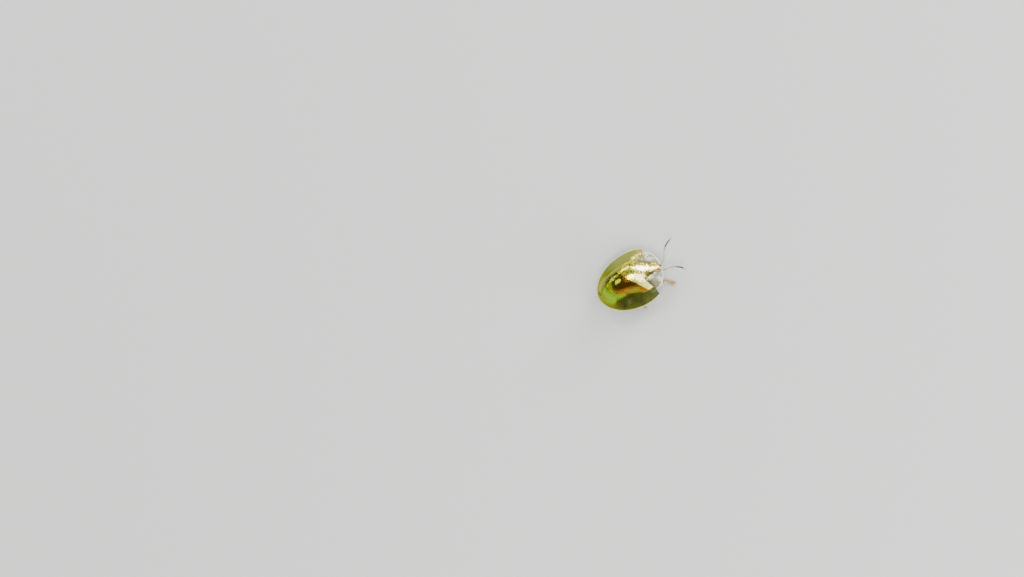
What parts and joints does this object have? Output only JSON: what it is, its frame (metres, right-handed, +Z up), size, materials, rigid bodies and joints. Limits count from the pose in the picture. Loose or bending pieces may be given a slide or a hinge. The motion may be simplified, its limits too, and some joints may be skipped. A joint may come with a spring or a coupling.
{
  "type": "golden tortoise beetle",
  "caption": "Still life-size golden tortoise beetle, walking, with a domed shell, flat clear rim, shield over the head, spread feelers and lobed feet.",
  "frame": {"origin": "on the floor under the middle of the bounding box", "axes": "+Z up, -Y towards the head, +X towards the beetle's left side"},
  "size_m": [0.007, 0.0103, 0.0039],
  "materials": {
    "shell_gold": "mirror-like gold under a clear lacquer, clear at the rim",
    "shield_gold": "pale gold under a clear lacquer, clear at the rim",
    "head_amber": "smooth amber horn",
    "eye_dark": "glossy black with fine facets",
    "feeler_pale": "pale straw horn, dark towards the tips",
    "body_brown": "smooth brown horn",
    "leg_amber": "smooth amber horn, paler pads"
  },
  "bodies": {
    "root": {"elytron_left": "shell_gold", "elytron_right": "shell_gold", "scutellum": "shell_gold", "pronotum": "shield_gold", "head": "head_amber", "eye_left": "eye_dark", "eye_right": "eye_dark", "antenna_left": "feeler_pale", "antenna_right": "feeler_pale", "thorax": "body_brown", "abdomen": "body_brown", "leg_front_left": "leg_amber", "leg_front_right": "leg_amber", "leg_middle_left": "leg_amber", "leg_middle_right": "leg_amber", "leg_hind_left": "leg_amber", "leg_hind_right": "leg_amber"}
  },
  "joints": []
}
